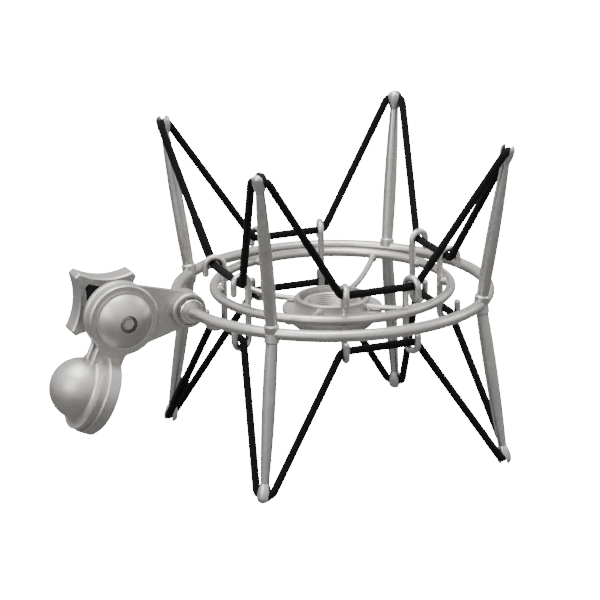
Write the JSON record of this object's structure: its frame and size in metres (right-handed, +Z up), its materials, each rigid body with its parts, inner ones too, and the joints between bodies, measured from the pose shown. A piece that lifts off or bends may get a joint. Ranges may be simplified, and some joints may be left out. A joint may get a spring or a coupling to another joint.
{
  "type": "microphone shock mount",
  "caption": "Elastic suspension mount for a studio microphone: ring on splayed posts, sprung wire cradle with threaded cup, swivel and stand socket.",
  "frame": {"origin": "on the microphone thread's axis, level with the top face of the cup's flange", "axes": "+Z up along the microphone; the swivel bracket points along -X; the swivel axis is parallel to Y"},
  "size_m": [0.2061, 0.1452, 0.1464],
  "materials": {
    "frame_metal": "satin nickel-grey",
    "cradle_metal": "satin nickel-grey",
    "swivel_metal": "satin nickel-grey",
    "knob_metal": "satin nickel-grey",
    "collar_metal": "bright nickel",
    "thread_brass": "turned",
    "steel_hardware": "zinc plated",
    "black_hardware": "matt",
    "fibre": "fibre washer",
    "elastic": "braided black cover"
  },
  "bodies": {
    "frame": {"outer_ring": "frame_metal", "post_studs": "steel_hardware", "elastic_upper": "elastic", "elastic_lower": "elastic", "swivel_bracket": "swivel_metal", "ring_collar_front": "collar_metal", "ring_collar_rear": "collar_metal", "grub_screw": "steel_hardware", "pivot_bush": "thread_brass", "post_upper_1": "frame_metal", "post_upper_2": "frame_metal", "post_upper_3": "frame_metal", "post_upper_4": "frame_metal", "post_lower_1": "frame_metal", "post_lower_2": "frame_metal", "post_lower_3": "frame_metal", "post_lower_4": "frame_metal"},
    "cradle": {"inner_ring": "cradle_metal", "cup": "cradle_metal", "hook_rod_1": "cradle_metal", "hook_rod_2": "cradle_metal", "hook_rod_3": "cradle_metal", "hook_rod_4": "cradle_metal", "hook_rod_5": "cradle_metal", "hook_rod_6": "cradle_metal", "hook_rod_7": "cradle_metal", "hook_rod_8": "cradle_metal", "cup_arm_1": "cradle_metal", "cup_arm_2": "cradle_metal", "cup_arm_3": "cradle_metal", "cup_arm_4": "cradle_metal"},
    "thread_ring": {"thread_ring": "cradle_metal", "retaining_clip": "steel_hardware"},
    "stand_adapter": {"stand_socket": "swivel_metal", "thread_insert": "thread_brass", "friction_disc_front": "fibre", "friction_disc_rear": "fibre", "cap_washer": "swivel_metal", "dome_cap": "swivel_metal", "pivot_bolt": "steel_hardware", "knob_spacer": "steel_hardware"},
    "knob": {"star_knob": "knob_metal", "knob_core": "black_hardware", "knob_insert": "thread_brass", "knob_cap": "knob_metal"}
  },
  "joints": [
    {"name": "cradle_bounce", "type": "slide", "parent": "frame", "child": "cradle", "axis": [0, 0, 1], "range_m": [-0.006, 0.006], "stiffness_N_per_m": 1500, "springref_m": 0.0009, "deforming": ["elastic_upper", "elastic_lower"]},
    {"name": "thread_ring_turn", "type": "hinge", "parent": "cradle", "child": "thread_ring", "pos_m": [0, 0, 0], "axis": [0, 0, 1], "continuous": true},
    {"name": "swivel_tilt", "type": "hinge", "parent": "frame", "child": "stand_adapter", "pos_m": [-0.1002, 0, 0.0075], "axis": [0, 1, 0], "range_deg": [-48, 180]},
    {"name": "knob_turn", "type": "hinge", "parent": "stand_adapter", "child": "knob", "pos_m": [-0.1002, 0.0272, 0.0075], "axis": [0, 1, 0], "continuous": true}
  ]
}
